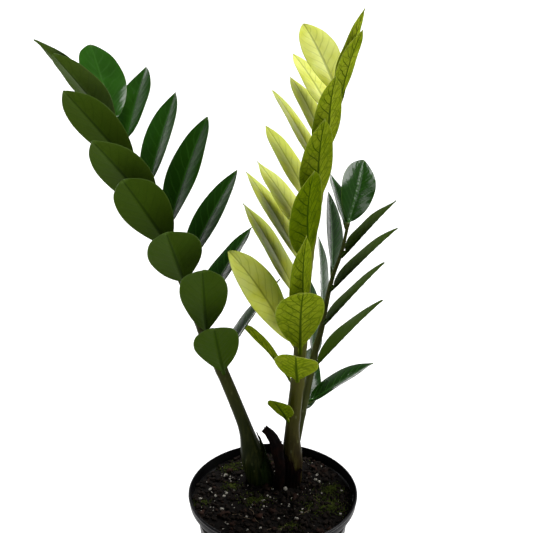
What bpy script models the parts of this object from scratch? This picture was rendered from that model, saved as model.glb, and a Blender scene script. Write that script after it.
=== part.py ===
"""Potted zz plant: three leafy stalks on two rhizomes, in soil, in a round nursery pot.

Metres, +Z up. The origin is the middle of the pot's base, on the surface that it stands on.
The front of the plant faces -Y.
"""

import math

import bmesh
import bpy
from mathutils import Matrix, Vector

MM = 0.001

# ---- driving dimensions ------------------------------------------------------------------
CLEARANCE = 0.3 * MM         # gap between pieces that touch

# pot
POT_HEIGHT = 105 * MM
POT_RIM_RADIUS = 60 * MM     # outer radius of the rolled lip
POT_NECK_RADIUS = 53 * MM    # just under the lip's hollow curve
POT_BASE_RADIUS = 43.5 * MM
POT_WALL = 1.2 * MM
POT_BASE_THICKNESS = 1.6 * MM
LIP_DROP = 7 * MM            # height of the lip's upright band
NECK_DROP = 24 * MM          # depth under the rim where the hollow curve ends
DRAIN_HOLES = 6
DRAIN_RADIUS = 4 * MM
DRAIN_CIRCLE = 28 * MM

# soil
SOIL_DROP = 6.5 * MM         # soil level under the rim
SOIL_RELIEF = 1.0 * MM       # lumps of the surface, up and down
SOIL_CALM = 26 * MM          # the surface is level this far round the stalks
SOIL_EDGE = 8 * MM           # and levels out over this width at the wall

# leaflets
LEAF_THICKNESS = 1.0 * MM
LEAF_FOLD = math.radians(13)  # how far each half rises from the midrib
LEAF_SAG = 0.02              # drop of the midrib under its chord, as a share of the length
STEM_TAB = 1.5 * MM          # half width of the short leaf stem
TIP_HALF_WIDTH = 0.4 * MM
BLADE_FULLNESS = 1.47        # lower is blunter at both ends, higher is more pointed

# rhizomes, under the soil
RHIZOME_DEPTH = 18 * MM      # from the soil's surface down to their tops

# dry scales at the foot of the stalks
SHEATH_THICKNESS = 0.7 * MM
SHEATH_FLARE = 0.8 * MM

SOIL_LEVEL = POT_HEIGHT - SOIL_DROP
STALKS_MIDDLE = Vector((3 * MM, 21 * MM, 0))

# ---- stalks: points on the axis (x, y, height over the soil) and radius, in millimetres ---
FOOT = (CLEARANCE - RHIZOME_DEPTH) / MM
LEFT_STALK = [
    (-8, 18, FOOT, 8.4), (-9, 19, 0, 9.4), (-14, 21, 20, 9.2), (-17, 23, 31, 7.0),
    (-19.5, 24, 42, 5.2), (-34, 30, 80, 4.3), (-48, 35, 113, 4.1), (-60, 40, 145, 3.8),
    (-70, 44, 175, 3.3), (-81, 48, 203, 2.9), (-92, 52, 229, 2.4), (-103, 56, 253, 1.9),
    (-110, 58, 269, 1.5)]
YOUNG_STALK = [
    (13, 18, FOOT, 7.0), (13, 18, 0, 7.8), (14, 20, 22, 7.2), (14, 21, 42, 5.3), (16, 23, 66, 5.1),
    (18, 25, 85, 4.8), (19, 26, 104, 4.4), (22, 30, 148, 3.7), (24, 32, 170, 3.3), (27, 33, 191, 2.9),
    (30, 35, 211, 2.6), (33, 37, 231, 2.3), (37, 38, 251, 1.9), (41, 40, 271, 1.6), (44, 41, 280, 1.4)]
RIGHT_STALK = [
    (9, 31, FOOT, 4.2), (12, 33, 3, 4.4), (17, 36, 24, 3.7), (21.7, 39, 48, 3.2),
    (26.5, 42, 72, 2.8), (31.4, 45, 98, 2.4), (35, 46, 112, 2.1), (37, 48, 125, 1.9),
    (42, 51, 149, 1.5), (48, 53, 167, 1.3), (52, 55, 188, 1.1)]

# ---- leaflets: height over the soil where it leaves the stalk (mm), heading, climb and roll
# (degrees: heading from +X towards +Y, climb over level, roll about its own length), and the
# length from the stalk's axis to the tip and the width (mm), and where along the blade it is
# widest. From the lowest to the highest.
LEFT_FRONT = [
    (81, 263, 57, 17, 67, 31, 0.59), (110, 272, 59, 3, 80, 32, 0.59),
    (147, 262, 50, 23, 75, 36, 0.51), (171, 243, 51, 42, 86, 32, 0.57),
    (200, 240, 46, 35, 87, 31, 0.48), (225, 225, 50, 43, 84, 28, 0.55),
    (253, 220, 52, 13, 71, 32, 0.54), (268, 207, 47, 18, 66, 22, 0.52)]
LEFT_BACK = [
    (91, 49, 33, -36, 80, 28, 0.38), (126, 56, 34, -24, 81, 28, 0.4),
    (155, 58, 39, -17, 91, 28, 0.48), (184, 68, 43, -21, 96, 31, 0.47),
    (214, 76, 39, -28, 84, 28, 0.47), (245, 80, 36, -26, 69, 30, 0.46),
    (256, 115, 41, 17, 70, 33, 0.55)]
YOUNG_FRONT = [
    (79, 266, 47, -4, 57, 30, 0.51), (98, 271, 63, 8, 73, 33, 0.59),
    (132, 269, 59, 51, 86, 24, 0.34), (165, 271, 62, 46, 91, 32, 0.49),
    (206, 272, 62, 34, 79, 27, 0.43), (241, 271, 53, 35, 77, 23, 0.4),
    (271, 290, 59, 32, 65, 22, 0.47), (278, 295, 67, 34, 65, 26, 0.39)]
YOUNG_BACK = [
    (46, 222, 55, 19, 35, 19, 0.45), (76, 125, 16, 64, 73, 27, 0.51),
    (102, 167, 55, -27, 88, 30, 0.58), (135, 125, 37, 27, 93, 27, 0.46),
    (162, 123, 33, 24, 93, 24, 0.45), (182, 122, 30, 18, 80, 25, 0.4),
    (202, 120, 34, 18, 81, 22, 0.48), (228, 121, 35, 28, 78, 22, 0.47),
    (244, 117, 37, 22, 66, 21, 0.5), (265, 118, 31, 14, 65, 23, 0.41),
    (278, 133, 51, -14, 56, 26, 0.56)]
RIGHT_FRONT = [
    (52, 16, 27, -16, 60, 32, 0.44), (81, 343, 51, -23, 78, 29, 0.49),
    (114, 332, 52, -7, 72, 26, 0.46), (139, 339, 49, -15, 71, 27, 0.47),
    (163, 344, 51, -19, 59, 27, 0.48), (185, 71, 41, 38, 56, 26, 0.54)]
RIGHT_BACK = [
    (43, 80, 29, 49, 61, 25, 0.46), (86, 92, 34, 64, 74, 27, 0.42),
    (119, 91, 33, 69, 72, 22, 0.45), (149, 92, 49, 59, 65, 25, 0.48),
    (184, 103, 33, 46, 50, 22, 0.46)]


# ---- scene, collections and materials ----------------------------------------------------
def clear_scene():
    for item in list(bpy.data.objects):
        bpy.data.objects.remove(item, do_unlink=True)


def new_collection(name):
    collection = bpy.data.collections.new(name)
    bpy.context.scene.collection.children.link(collection)
    return collection


def new_material(name, colour, roughness):
    material = bpy.data.materials.new(name)
    material.use_nodes = True
    shader = material.node_tree.nodes["Principled BSDF"]
    shader.inputs["Base Color"].default_value = (*colour, 1)
    shader.inputs["Roughness"].default_value = roughness
    shader.inputs["Metallic"].default_value = 0
    return material


def make_materials():
    return {
        "old_leaf": new_material("old_leaf", (0.02, 0.07, 0.02), 0.3),
        "young_leaf": new_material("young_leaf", (0.35, 0.42, 0.04), 0.4),
        "old_stalk": new_material("old_stalk", (0.04, 0.07, 0.02), 0.5),
        "young_stalk": new_material("young_stalk", (0.07, 0.09, 0.03), 0.5),
        "dry_scale": new_material("dry_scale", (0.05, 0.02, 0.012), 0.8),
        "rhizome": new_material("rhizome", (0.35, 0.25, 0.13), 0.8),
        "soil": new_material("soil", (0.012, 0.009, 0.007), 0.95),
        "pot": new_material("pot", (0.01, 0.01, 0.011), 0.4),
    }


def add_object(name, data, collection, material=None):
    item = bpy.data.objects.new(name, data)
    collection.objects.link(item)
    if material:
        data.materials.append(material)
    return item


# ---- stalks ------------------------------------------------------------------------------
class Stalk:
    """The axis and radius of one stalk, by height, as a smooth line through its points."""

    def __init__(self, points):
        self.points = [Vector((x * MM, y * MM, SOIL_LEVEL + z * MM, r * MM)) for x, y, z, r in points]

    def at(self, height):
        """The place and radius on the axis at a height in metres over the floor."""
        last = len(self.points) - 2
        index = 0
        while index < last and self.points[index + 1].z < height:
            index += 1
        before = self.points[max(index - 1, 0)]
        start = self.points[index]
        end = self.points[index + 1]
        after = self.points[min(index + 2, last + 1)]
        run = end.z - start.z
        t = min(max((height - start.z) / run, 0), 1)
        start_slope = (end - before) * (run / (end.z - before.z))
        end_slope = (after - start) * (run / (after.z - start.z))
        blend = 3 * t ** 2 - 2 * t ** 3
        point = start.lerp(end, blend)
        point = point + start_slope * (t - 2 * t ** 2 + t ** 3) + end_slope * (t ** 3 - t ** 2)
        return Vector((point.x, point.y, height)), point.w

    def direction(self, height):
        step = 2 * MM
        return (self.at(height + step)[0] - self.at(height - step)[0]).normalized()

    def heights(self, step=9 * MM):
        low = self.points[0].z
        high = self.points[-1].z
        count = math.ceil((high - low) / step)
        return [low + (high - low) * i / count for i in range(count + 1)]


def stalk_curve(name, stalk, collection, material=None, extra=0.0):
    """A tapered tube on the stalk's axis. A cutter has extra radius and starts lower."""
    data = bpy.data.curves.new(name, "CURVE")
    data.dimensions = "3D"
    data.bevel_depth = 1.0
    data.bevel_resolution = 3
    data.use_fill_caps = True
    stations = [stalk.at(height) for height in stalk.heights()]
    if extra:
        place, radius = stations[0]
        stations.insert(0, (place - Vector((0, 0, 12 * extra)), radius))
    spline = data.splines.new("POLY")
    spline.points.add(len(stations) - 1)
    for point, (place, radius) in zip(spline.points, stations):
        point.co = (*place, 1)
        point.radius = radius + extra
    spline.use_smooth = True
    return add_object(name, data, collection, material)


def tube_curve(name, points, collection, material=None, extra=0.0):
    """A tapered tube through points given as x, y, height over the soil and radius in mm."""
    data = bpy.data.curves.new(name, "CURVE")
    data.dimensions = "3D"
    data.bevel_depth = 1.0
    data.bevel_resolution = 2
    data.use_fill_caps = True
    spline = data.splines.new("POLY")
    spline.points.add(len(points) - 1)
    for point, (x, y, z, radius) in zip(spline.points, points):
        point.co = (x * MM, y * MM, SOIL_LEVEL + z * MM, 1)
        point.radius = radius * MM + extra
    return add_object(name, data, collection, material)


def as_mesh_object(curve_item, collection):
    """Replace a curve object by a welded mesh object of the same name."""
    graph = bpy.context.evaluated_depsgraph_get()
    mesh = bpy.data.meshes.new_from_object(curve_item.evaluated_get(graph))
    bm = bmesh.new()
    bm.from_mesh(mesh)
    bmesh.ops.remove_doubles(bm, verts=bm.verts, dist=0.00001)
    bm.to_mesh(mesh)
    bm.free()
    name = curve_item.name
    matrix = curve_item.matrix_world.copy()
    bpy.data.objects.remove(curve_item, do_unlink=True)
    item = add_object(name, mesh, collection)
    item.matrix_world = matrix
    return item


# ---- leaflets ----------------------------------------------------------------------------
BLADE_ROWS = (0.0, 0.05, 0.15, 0.3, 0.48, 0.66, 0.84, 1.0)
BLADE_COLUMNS = 5


def blade_half_width(share, width, widest):
    """Half the blade's width at a share of its length: full towards its widest place."""
    rise = (share / widest) ** (BLADE_FULLNESS * widest)
    fall = ((1 - share) / (1 - widest)) ** (BLADE_FULLNESS * (1 - widest))
    floor = STEM_TAB if share < widest else TIP_HALF_WIDTH
    return max(width / 2 * rise * fall, floor)


def blade_mesh(name, length, width, widest):
    """An open blade: +Y along its length, +Z its upper face, folded up along its midrib."""
    bm = bmesh.new()
    across = BLADE_COLUMNS - 1
    along = len(BLADE_ROWS) - 1
    bmesh.ops.create_grid(bm, x_segments=across, y_segments=along, size=1)
    for vert in bm.verts:
        row = round((vert.co.y + 1) / 2 * along)
        share = BLADE_ROWS[row]
        half = STEM_TAB if row < 2 else blade_half_width(share, width, widest)
        x = vert.co.x * half
        rise = abs(x) * math.tan(LEAF_FOLD) * min(share / BLADE_ROWS[3], 1)
        sag = 4 * LEAF_SAG * length * share * (1 - share)
        vert.co = (x, share * length, rise - sag)
    mesh = bpy.data.meshes.new(name)
    bm.to_mesh(mesh)
    bm.free()
    return mesh


def leaf_matrix(place, along, roll):
    """Places a blade's base at a point, its length along a direction, and rolls it."""
    up = Vector((0, 0, 1))
    upper = (up - along * along.dot(up)).normalized()
    across = along.cross(upper)
    turned = upper * math.cos(roll) + across * math.sin(roll)
    side = along.cross(turned)
    return Matrix.Translation(place) @ Matrix((side, along, turned)).transposed().to_4x4()


def add_leaflet(name, stalk, row, collection, material):
    height, heading, climb, roll, length, width, widest = row
    heading = math.radians(heading)
    climb = math.radians(climb)
    level = math.cos(climb)
    along = Vector((level * math.cos(heading), level * math.sin(heading), math.sin(climb)))
    place, radius = stalk.at(SOIL_LEVEL + height * MM)
    lean = along.angle(stalk.direction(place.z))
    start = (radius + CLEARANCE + LEAF_THICKNESS) / math.sin(max(lean, math.radians(25)))
    mesh = blade_mesh(name, length * MM - start, width * MM, widest)
    item = add_object(name, mesh, collection, material)
    item.matrix_world = leaf_matrix(place + along * start, along, math.radians(roll))
    skin = item.modifiers.new("thickness", "SOLIDIFY")
    skin.thickness = LEAF_THICKNESS
    skin.offset = 0
    return item


def add_leaf_row(label, stalk, rows, collection, material):
    for number, row in enumerate(rows, start=1):
        add_leaflet(f"{label}_leaflet_{number}", stalk, row, collection, material)


# ---- dry scales and rhizomes -------------------------------------------------------------
def add_sheath(name, stalk, first, last, low_top, high_top, collection, material):
    """A papery scale round part of a stalk's foot, from one heading to another in degrees.

    Its upper edge runs from low_top at the first heading to high_top at the last, in metres
    over the soil.
    """
    columns = 12
    rows = 6
    bm = bmesh.new()
    bmesh.ops.create_grid(bm, x_segments=columns, y_segments=rows, size=1)
    bottom = SOIL_LEVEL + CLEARANCE
    for vert in bm.verts:
        side = (vert.co.x + 1) / 2
        rise = (vert.co.y + 1) / 2
        angle = math.radians(first + (last - first) * side)
        top = SOIL_LEVEL + low_top + (high_top - low_top) * side
        height = bottom + (top - bottom) * rise
        centre, radius = stalk.at(height)
        reach = radius + 2 * CLEARANCE + SHEATH_FLARE * rise ** 3 + SHEATH_THICKNESS / 2
        vert.co = centre + Vector((math.cos(angle), math.sin(angle), 0)) * reach
    mesh = bpy.data.meshes.new(name)
    bm.to_mesh(mesh)
    bm.free()
    item = add_object(name, mesh, collection, material)
    skin = item.modifiers.new("thickness", "SOLIDIFY")
    skin.thickness = SHEATH_THICKNESS
    skin.offset = 0
    return item


def rhizome_mesh(name, size, extra=0.0):
    bm = bmesh.new()
    bmesh.ops.create_uvsphere(bm, u_segments=20, v_segments=12, radius=1)
    bmesh.ops.scale(bm, vec=[value + extra for value in size], verts=bm.verts)
    mesh = bpy.data.meshes.new(name)
    bm.to_mesh(mesh)
    bm.free()
    return mesh


# ---- pot and soil ------------------------------------------------------------------------
def turned_object(name, profile, collection, material, closed=True, steps=48):
    """A profile of radius and height, from the top down, turned round the Z axis."""
    mesh = bpy.data.meshes.new(name)
    points = [(radius, 0, height) for radius, height in profile]
    edges = [(i, i + 1) for i in range(len(points) - 1)]
    if closed:
        edges.append((len(points) - 1, 0))
    mesh.from_pydata(points, edges, [])
    item = add_object(name, mesh, collection, material)
    turn = item.modifiers.new("turn", "SCREW")
    turn.steps = steps
    turn.render_steps = steps
    turn.use_merge_vertices = True
    turn.merge_threshold = 0.00005
    turn.use_smooth_shade = True
    return item


HOLLOW_STEPS = 4


def wall_radius(height):
    """Outer radius of the pot's wall under the lip, at a height over the floor."""
    neck = POT_HEIGHT - NECK_DROP
    return POT_BASE_RADIUS + (POT_NECK_RADIUS - POT_BASE_RADIUS) * height / neck


def outer_profile():
    """The pot's outside from the rim to the base: lip, upright band, hollow curve, taper."""
    lip_roll = 1.2 * MM
    points = [
        (POT_RIM_RADIUS - lip_roll, POT_HEIGHT),
        (POT_RIM_RADIUS, POT_HEIGHT - lip_roll),
        (POT_RIM_RADIUS, POT_HEIGHT - 2 * lip_roll),
        (POT_RIM_RADIUS - 0.7 * MM, POT_HEIGHT - 3 * lip_roll),
        (POT_RIM_RADIUS - 0.7 * MM, POT_HEIGHT - LIP_DROP)]
    start = Vector((points[-1][0], POT_HEIGHT - LIP_DROP))
    end = Vector((POT_NECK_RADIUS, POT_HEIGHT - NECK_DROP))
    for i in range(1, HOLLOW_STEPS + 1):
        turn = math.radians(90) * i / HOLLOW_STEPS
        inward = (end.x - start.x) * math.sin(turn)
        down = (end.y - start.y) * (1 - math.cos(turn))
        points.append((start.x + inward, start.y + down))
    points.append((POT_BASE_RADIUS + 1 * MM, 3 * MM))
    points.append((POT_BASE_RADIUS, 0))
    return points


def inner_profile():
    """The pot's inside from the floor up: the outside moved in by the wall."""
    rise = [(radius - POT_WALL, height) for radius, height in outer_profile()[:-2]]
    rise[0] = (POT_RIM_RADIUS - 2.4 * MM, POT_HEIGHT)
    rise[1] = (POT_RIM_RADIUS - 3 * MM, POT_HEIGHT - 1.2 * MM)
    floor = (wall_radius(POT_BASE_THICKNESS) - POT_WALL, POT_BASE_THICKNESS)
    return [floor] + rise[::-1]


def inner_radius(height):
    """Inside radius of the pot at a height, read from its inner profile."""
    points = inner_profile()
    for (low_radius, low), (high_radius, high) in zip(points, points[1:]):
        if low <= height <= high:
            return low_radius + (high_radius - low_radius) * (height - low) / (high - low)
    return points[-1][0]


def make_pot(parts, cutters, material):
    floor_middle = [(0.0, 0.0), (0.0, POT_BASE_THICKNESS)]
    profile = outer_profile() + floor_middle + inner_profile()
    pot = turned_object("pot", profile, parts, material)
    for number in range(DRAIN_HOLES):
        angle = 2 * math.pi * (number + 0.5) / DRAIN_HOLES
        bm = bmesh.new()
        bmesh.ops.create_cone(bm, cap_ends=True, segments=20, radius1=DRAIN_RADIUS,
                              radius2=DRAIN_RADIUS, depth=4 * POT_BASE_THICKNESS)
        mesh = bpy.data.meshes.new(f"drain_cutter_{number + 1}")
        bm.to_mesh(mesh)
        bm.free()
        cutter = add_object(mesh.name, mesh, cutters)
        cutter.location = (DRAIN_CIRCLE * math.cos(angle), DRAIN_CIRCLE * math.sin(angle), 0)
        cut_with(pot, cutter)
    return pot


def cut_with(item, cutter):
    cutter.hide_render = True
    cutter.display_type = "WIRE"
    cut = item.modifiers.new("cut", "BOOLEAN")
    cut.operation = "DIFFERENCE"
    cut.solver = "EXACT"
    cut.object = cutter


def soil_height(x, y):
    """Height of the soil's surface: low lumps that calm down round the stalks and at the wall."""
    away = (Vector((x, y, 0)) - STALKS_MIDDLE).length
    to_wall = inner_radius(SOIL_LEVEL) - 2 * CLEARANCE - math.hypot(x, y)
    strength = min(max(away / SOIL_CALM - 1, 0), max(to_wall / SOIL_EDGE, 0), 1)
    lumps = math.sin(x / (9 * MM) + 0.7) * math.cos(y / (11 * MM) - 0.4)
    lumps += 0.5 * math.sin(x / (5 * MM) - y / (6 * MM))
    return SOIL_LEVEL + SOIL_RELIEF * strength * lumps / 1.5


def make_soil(parts, cutters, material, inside):
    floor = POT_BASE_THICKNESS + CLEARANCE
    outer = inner_radius(SOIL_LEVEL) - 2 * CLEARANCE
    rings = 7
    profile = [(outer * i / rings, SOIL_LEVEL) for i in range(rings + 1)]
    for radius, height in inner_profile()[::-1]:
        if height < SOIL_LEVEL - CLEARANCE:
            profile.append((radius - 2 * CLEARANCE, max(height, floor)))
    profile.append((0.0, floor))
    turned = turned_object("soil", profile, parts, None, closed=False, steps=36)
    graph = bpy.context.evaluated_depsgraph_get()
    mesh = bpy.data.meshes.new_from_object(turned.evaluated_get(graph))
    bpy.data.objects.remove(turned, do_unlink=True)
    for vert in mesh.vertices:
        if vert.co.z > SOIL_LEVEL - CLEARANCE:
            vert.co.z = soil_height(vert.co.x, vert.co.y)
    soil = add_object("soil", mesh, parts, material)
    for cutter in inside:
        cut_with(soil, cutter)
    return soil


# ---- the whole plant ---------------------------------------------------------------------
STUB = [(5, 9, 0.3, 2.8), (5, 10.5, 17, 3.0), (3.2, 13, 33, 3.2), (-1, 14, 42.5, 2.9), (-6, 14.5, 47.5, 2.2)]
RHIZOMES = {"left_rhizome": ((-12, 18), (13, 13, 12)), "right_rhizome": ((14, 25), (12, 15, 12))}


def build():
    clear_scene()
    parts = new_collection("potted_zz_plant")
    cutters = new_collection("cutters")
    materials = make_materials()

    left = Stalk(LEFT_STALK)
    young = Stalk(YOUNG_STALK)
    right = Stalk(RIGHT_STALK)
    stalks = {"left": (left, "old"), "young": (young, "young"), "right": (right, "old")}

    buried = []
    for label, (stalk, age) in stalks.items():
        stalk_curve(f"{label}_stalk", stalk, parts, materials[f"{age}_stalk"])
        cutter = stalk_curve(f"{label}_stalk_cutter", stalk, cutters, extra=CLEARANCE)
        buried.append(as_mesh_object(cutter, cutters))

    rows = {"left_front": LEFT_FRONT, "left_back": LEFT_BACK, "young_front": YOUNG_FRONT,
            "young_back": YOUNG_BACK, "right_front": RIGHT_FRONT, "right_back": RIGHT_BACK}
    for label, table in rows.items():
        stalk, age = stalks[label.split("_")[0]]
        add_leaf_row(label, stalk, table, parts, materials[f"{age}_leaf"])

    for name, (place, size) in RHIZOMES.items():
        radii = [value * MM for value in size]
        centre = Vector((place[0] * MM, place[1] * MM, SOIL_LEVEL - RHIZOME_DEPTH - radii[2]))
        body = add_object(name, rhizome_mesh(name, radii), parts, materials["rhizome"])
        body.location = centre
        room = add_object(f"{name}_cutter", rhizome_mesh(name, radii, CLEARANCE), cutters)
        room.location = centre
        buried.append(room)

    add_sheath("young_sheath", young, 150, 320, 33 * MM, 15 * MM, parts, materials["dry_scale"])
    add_sheath("left_sheath", left, -70, 40, 16 * MM, 36 * MM, parts, materials["dry_scale"])
    tube_curve("dry_stub", STUB, parts, materials["dry_scale"])

    make_pot(parts, cutters, materials["pot"])
    make_soil(parts, cutters, materials["soil"], buried)


build()
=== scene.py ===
import math
import random
from types import SimpleNamespace

import bmesh
import bpy
import numpy as np
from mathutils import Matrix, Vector, noise


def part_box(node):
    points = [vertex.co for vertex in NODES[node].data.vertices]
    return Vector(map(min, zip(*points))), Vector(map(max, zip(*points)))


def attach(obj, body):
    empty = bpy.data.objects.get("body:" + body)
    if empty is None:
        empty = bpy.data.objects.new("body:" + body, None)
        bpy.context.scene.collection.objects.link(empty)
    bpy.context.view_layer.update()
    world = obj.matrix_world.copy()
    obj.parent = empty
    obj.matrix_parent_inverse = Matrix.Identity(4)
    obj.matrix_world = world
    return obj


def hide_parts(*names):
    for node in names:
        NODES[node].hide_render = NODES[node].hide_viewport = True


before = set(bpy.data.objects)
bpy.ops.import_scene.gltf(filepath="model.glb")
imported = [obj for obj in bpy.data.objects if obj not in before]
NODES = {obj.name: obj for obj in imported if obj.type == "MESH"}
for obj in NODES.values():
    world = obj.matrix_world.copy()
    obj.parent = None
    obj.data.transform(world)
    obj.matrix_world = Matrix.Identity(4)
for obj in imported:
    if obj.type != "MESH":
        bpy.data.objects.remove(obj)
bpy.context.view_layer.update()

MM = 0.001
TURN = 2 * math.pi

# leaflet mesh: rows along the blade, rows along its stem and columns across each face
BLADE_ROWS = 78
STEM_ROWS = 6
BLADE_COLUMNS = 22

# leaflet form: the stem, the run in which it widens to the blade, the thickness and the outline
STEM_HALF = 1.4 * MM
STEM_BLEND = 4 * MM
LEAST_HALF = 0.25 * MM
LAMINA = 0.62 * MM
EDGE = 0.22 * MM
FULLNESS = 1.47
CHEEK = 0.16
OLD_KEEL = 1.0
YOUNG_KEEL = 0.45

# leaflet relief: grooves in the upper face, ridges on the lower one
VEIN_PAIRS = 8.5
VEIN_SLANT = 0.25
VEIN_CURVE = 1.05
VEIN_GROOVE = 0.14 * MM
VEIN_RIDGE = 0.06 * MM
RIB_HALF = 1.0 * MM
RIB_GROOVE = 0.30 * MM
RIB_RIDGE = 0.75 * MM

# how pale each young leaflet is, 0 to 1, from the foot of the stalk up
YOUNG_TINTS = {
    "front": (0.5, 0.55, 0.35, 0.05, 0.4, 0.6, 0.6, 0.9),
    "back": (0.1, 0.4, 0.6, 0.25, 0.4, 0.55, 0.4, 0.45, 0.5, 0.8, 0.72),
}

# stalk skins
STALK_ROWS = 420
STALK_COLUMNS = 40
STALK_RIBS = 5
JOINT_HALF = 2.6 * MM

# dry sheaths
SHEATH_COLUMNS = 54
SHEATH_ROWS = 34
SHEATH_WALL = 0.35 * MM

# dry stub
STUB_ROWS = 90
STUB_COLUMNS = 26

# soil: the bed's mesh, how many shapes the grains share, the moss patches as x, y and spread in
# millimetres with a count of tufts, and each root fibre's two ends in millimetres
BED_RINGS = 110
BED_COLUMNS = 300
GRAIN_SHAPES = 14
MOSS_WALL = 0.12 * MM
MOSS_PATCHES = (
    (-52, -6, 3.2, 170), (-13, -3, 5.5, 330), (-30, 12, 4, 150), (38, -10, 8, 700),
    (44, 8, 5, 320), (12, -34, 4, 120), (8, 45, 7, 260), (-30, 36, 5, 180),
)
ROOT_ROUTES = (
    ((-18, -14), (-8, -30)), ((-30, -20), (-14, -26)), ((12, -22), (30, -14)),
    ((-6, -38), (10, -33)), ((26, 4), (38, -8)),
)

# pot section: wall, rolled lip, upright band, hollow neck, taper with one ridge, and foot;
# the heights are in millimetres
POT_COLUMNS = 160
POT_WALL = 1.2 * MM
LIP = 1.25 * MM
LIP_STEPS = 12
BAND_INSET = 1.0 * MM
BAND_DEPTH = 7 * MM
NECK_DEPTH = 24 * MM
NECK_STEPS = 14
WALL_HEIGHTS = (60, 59.3, 58.7, 58, 40, 20, 6)
RIDGE_HEIGHTS = (59.3, 58.7)
RIDGE = 0.35 * MM
FOOT_RISE = 2.4 * MM
FOOT_STEPS = 6

# pot base: the hollow ring under it, the flat plate in its middle and the drain holes
BASE_HOLLOW = 0.8 * MM
FLOOR_TOP = 1.8 * MM
PLATE_RADIUS = 33 * MM
HOLES = 6
HOLE_RADIUS = 4 * MM
HOLE_CIRCLE = 28 * MM
HOLE_CORNERS = 32

# studio: the floor, the walls' brightness by height, and each light's azimuth, elevation,
# power and width
FLOOR_HALF = 40
WALLS = ((0.12, 1.0), (0.20, 0.42), (0.5, 0.05))
LIGHTS = {
    "back_light": (100, 62, 3.8, 20),
    "key_light": (5, 43, 2.0, 26),
    "window_light": (-24, 55, 0.35, 18),
}

# camera: distance from the rim's centre in metres, elevation over the rim and dip in degrees,
# shift to the side, lens and sensor in millimetres
CAMERA_DISTANCE = 0.70
CAMERA_ELEVATION = 35.6
CAMERA_DIP = 22.5
CAMERA_SIDE = -4.5 * MM
CAMERA_LENS = 64.7
CAMERA_SENSOR = 36


# ---- reading the CAD solids --------------------------------------------------------------
def node_points(name):
    """The node's own corners, each once."""
    corners = np.array([vert.co for vert in NODES[name].data.vertices])
    return np.unique(np.round(corners, 6), axis=0)


def split_rows(points, values, gap):
    """Groups of points whose values follow on each other with no step over the gap."""
    order = np.argsort(values)
    steps = np.nonzero(np.diff(values[order]) > gap)[0] + 1
    return [points[rows] for rows in np.split(order, steps)]


def unit(vector):
    return vector / np.linalg.norm(vector)


def ring_sizes(rings):
    """The centre of each ring of points and its mean radius, as rows x, y, z, radius."""
    centres = [ring.mean(0) for ring in rings]
    radii = [np.linalg.norm(ring - centre, axis=1).mean() for ring, centre in zip(rings, centres)]
    return np.column_stack([centres, radii])


def smooth_line(points, count):
    """A smooth line through the given points, as evenly spread rows of the same columns."""
    points = np.asarray(points, float)
    padded = np.vstack([2 * points[0] - points[1], points, 2 * points[-1] - points[-2]])
    places = np.linspace(0, len(points) - 1, count)
    index = np.minimum(places.astype(int), len(points) - 2)
    t = (places - index)[:, None]
    p0, p1, p2, p3 = (padded[index + shift] for shift in range(4))
    bend = (2 * p0 - 5 * p1 + 4 * p2 - p3) * t ** 2 + (3 * p1 - p0 - 3 * p2 + p3) * t ** 3
    return p1 + ((p2 - p0) * t + bend) / 2


class Stalk:
    """A stalk's axis and radius, read from the rings of its CAD tube."""

    def __init__(self, name):
        points = node_points(name)
        rings = split_rows(points, points[:, 2], 1.5 * MM)
        self.name = name
        self.line = smooth_line(ring_sizes(rings), 12 * len(rings))

    def at(self, height):
        """Axis point and radius at a height."""
        return np.array([np.interp(height, self.line[:, 2], self.line[:, i]) for i in range(4)])

    def nearest(self, point):
        return self.line[np.argmin(np.linalg.norm(self.line[:, :3] - point, axis=1))]


class Blade:
    """A leaflet's place and size, read from the rows of its CAD solid."""

    def __init__(self, name, stalk):
        points = node_points(name)
        centre = points.mean(0)
        along = np.linalg.svd(points - centre)[2][0]
        rows = split_rows(points, (points - centre) @ along, 0.3 * MM)
        ends = [rows[0].mean(0), rows[-1].mean(0)]
        gaps = [np.linalg.norm(stalk.nearest(end)[:3] - end) for end in ends]
        if gaps[0] > gaps[1]:
            rows.reverse()
            ends.reverse()
        self.name = name
        self.base, tip = ends
        self.along = unit(tip - self.base)
        self.length = np.linalg.norm(tip - self.base)
        self.stem = self.stem_reach(stalk)

        spans = [np.ptp(row @ self.across_of(row)) for row in rows]
        places = [(row.mean(0) - self.base) @ self.along / self.length for row in rows]
        self.widest = self.widest_place(spans, places)
        broadest = int(np.argmax(spans))
        across = self.across_of(rows[broadest])
        ordered = rows[broadest][np.argsort(rows[broadest] @ across)]
        width = np.ptp(ordered @ across)
        self.full_half = width / 2 / outline(places[broadest], self.widest)

        middle = ordered[4:6].mean(0)
        edges = (ordered[:2].mean(0) + ordered[-2:].mean(0)) / 2
        rise = edges - middle
        rise = rise - self.along * (rise @ self.along)
        self.upper = unit(rise)
        self.across = np.cross(self.along, self.upper)
        self.fold = math.atan2(np.linalg.norm(rise), width / 2)

    def stem_reach(self, stalk):
        """How far back from the base the stem runs to end well inside the stalk."""
        steps = np.linspace(2 * MM, 14 * MM, 49)
        gaps = []
        for step in steps:
            point = self.base - self.along * step
            near = stalk.nearest(point)
            gaps.append(abs(np.linalg.norm(near[:3] - point) - 0.5 * near[3]))
        return float(steps[int(np.argmin(gaps))])

    def widest_place(self, spans, places):
        """Where the outline is widest, from the widths of two rows along it."""
        low, high = places[3], places[5]
        rise = math.log(high / low)
        fall = math.log((1 - low) / (1 - high))
        share = (fall - math.log(spans[3] / spans[5]) / FULLNESS) / (rise + fall)
        return min(max(share, 0.25), 0.7)

    def across_of(self, row):
        """The direction in which a row of the blade's corners is broadest."""
        spread = row - row.mean(0)
        spread = spread - np.outer(spread @ self.along, self.along)
        return np.linalg.svd(spread)[2][0]


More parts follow.
